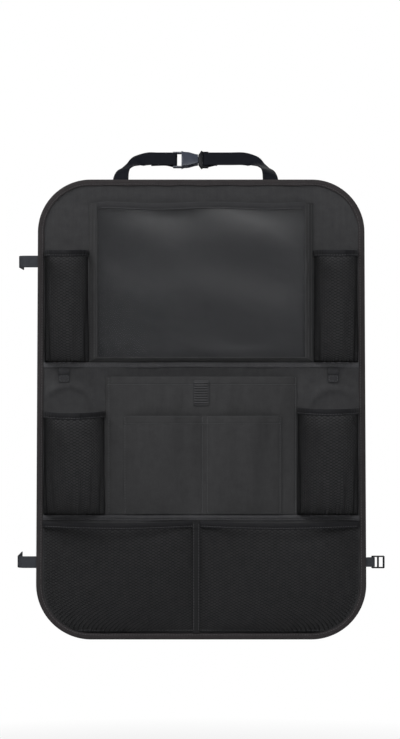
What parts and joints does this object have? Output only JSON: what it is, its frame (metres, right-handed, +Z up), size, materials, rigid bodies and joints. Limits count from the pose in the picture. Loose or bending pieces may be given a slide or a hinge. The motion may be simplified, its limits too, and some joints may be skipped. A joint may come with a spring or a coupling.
{
  "type": "car seat back organizer",
  "caption": "Fabric organizer hung on the back of a front car seat, with a clear tablet pocket, net bottle pockets, document pockets and net pockets along the bottom",
  "frame": {"origin": "the middle of the panel's flat back face, which lies against the seat back", "axes": "+X to the right seen from the front, +Y into the seat, +Z up along the panel; the pockets face -Y"},
  "size_m": [0.4674, 0.1327, 0.6265],
  "materials": {
    "oxford_cloth": "matte woven polyester",
    "binding_tape": "matte folded tape",
    "woven_tape": "matte woven tape",
    "elastic_band": "ribbed elastic",
    "netting": "knitted polyester netting",
    "clear_film": "clear glossy film",
    "patch_rubber": "soft moulded ribs",
    "side_webbing": "woven webbing",
    "strap_webbing": "woven webbing",
    "buckle_plastic": "satin moulded acetal"
  },
  "bodies": {
    "root": {"main_panel": "oxford_cloth", "edge_binding": "binding_tape", "cross_tape": "woven_tape", "hem_tape": "woven_tape", "tablet_frame": "oxford_cloth", "tablet_window": "clear_film", "tablet_hem": "binding_tape", "bottle_left_net": "netting", "bottle_left_band": "elastic_band", "bottle_right_net": "netting", "bottle_right_band": "elastic_band", "cup_left_net": "netting", "cup_left_band": "elastic_band", "cup_right_net": "netting", "cup_right_band": "elastic_band", "document_pocket": "oxford_cloth", "front_pocket": "oxford_cloth", "ribbed_patch": "patch_rubber", "hanging_loop_left": "side_webbing", "hanging_loop_right": "side_webbing", "lower_net": "netting", "lower_band": "elastic_band", "divider_tape": "woven_tape", "top_strap_left": "strap_webbing", "top_strap_right": "strap_webbing", "buckle_socket": "buckle_plastic", "buckle_plug": "buckle_plastic", "side_strap_upper": "side_webbing", "side_strap_lower": "side_webbing", "slider_tab": "side_webbing", "strap_slider": "buckle_plastic"}
  },
  "joints": []
}
